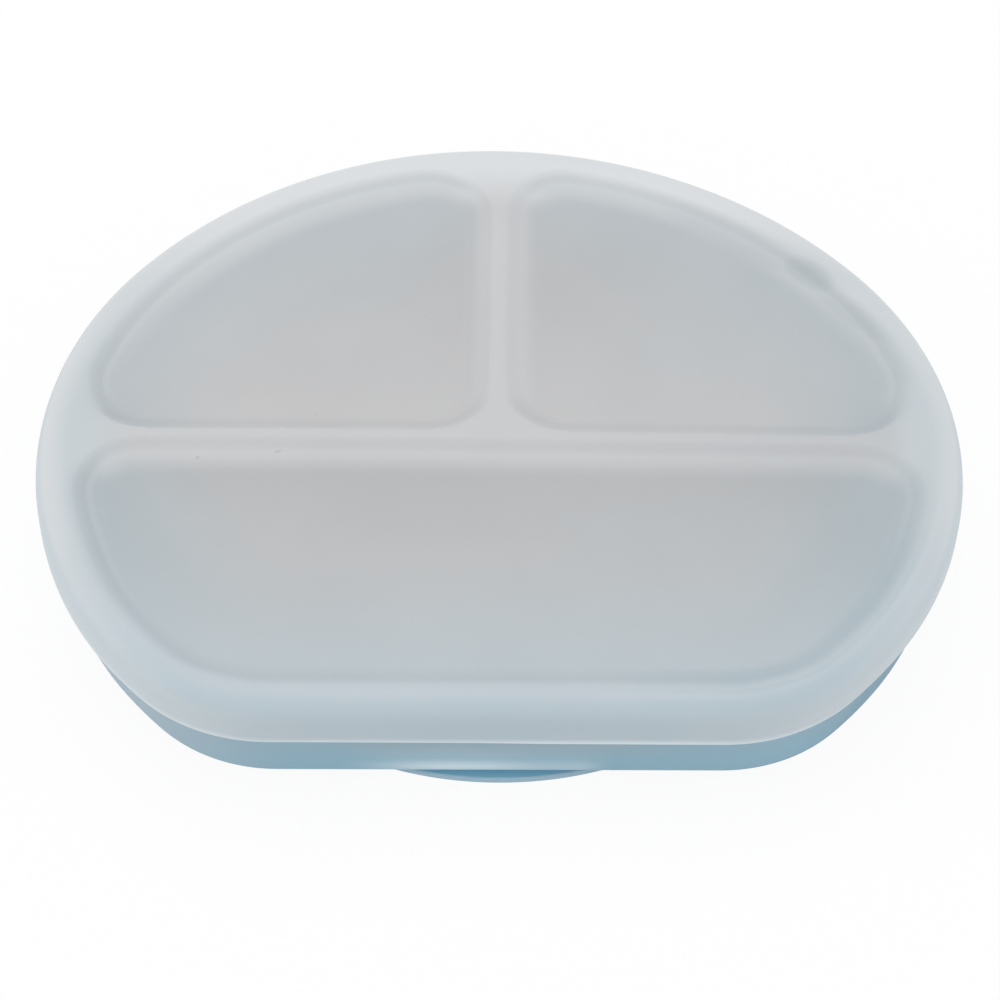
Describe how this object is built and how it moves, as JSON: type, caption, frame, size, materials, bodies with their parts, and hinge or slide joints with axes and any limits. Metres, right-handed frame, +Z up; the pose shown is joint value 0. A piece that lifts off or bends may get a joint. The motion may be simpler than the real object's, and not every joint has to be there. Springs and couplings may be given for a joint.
{
  "type": "baby suction plate with lid",
  "caption": "Divided D-shaped silicone plate with a round suction foot under it and a frosted stretch lid with sunken panels over its rim.",
  "frame": {"origin": "on the table under the suction foot, below the middle of the lid's outline", "axes": "+X across the plate along its longest side, +Y from the flat front to the curved back, +Z up"},
  "size_m": [0.222, 0.1794, 0.0366],
  "materials": {
    "blue_silicone": "matte moulded silicone, pale blue",
    "frosted_silicone": "matte frosted silicone, translucent white"
  },
  "bodies": {
    "root": {"plate": "blue_silicone", "lid": "frosted_silicone"}
  },
  "joints": []
}
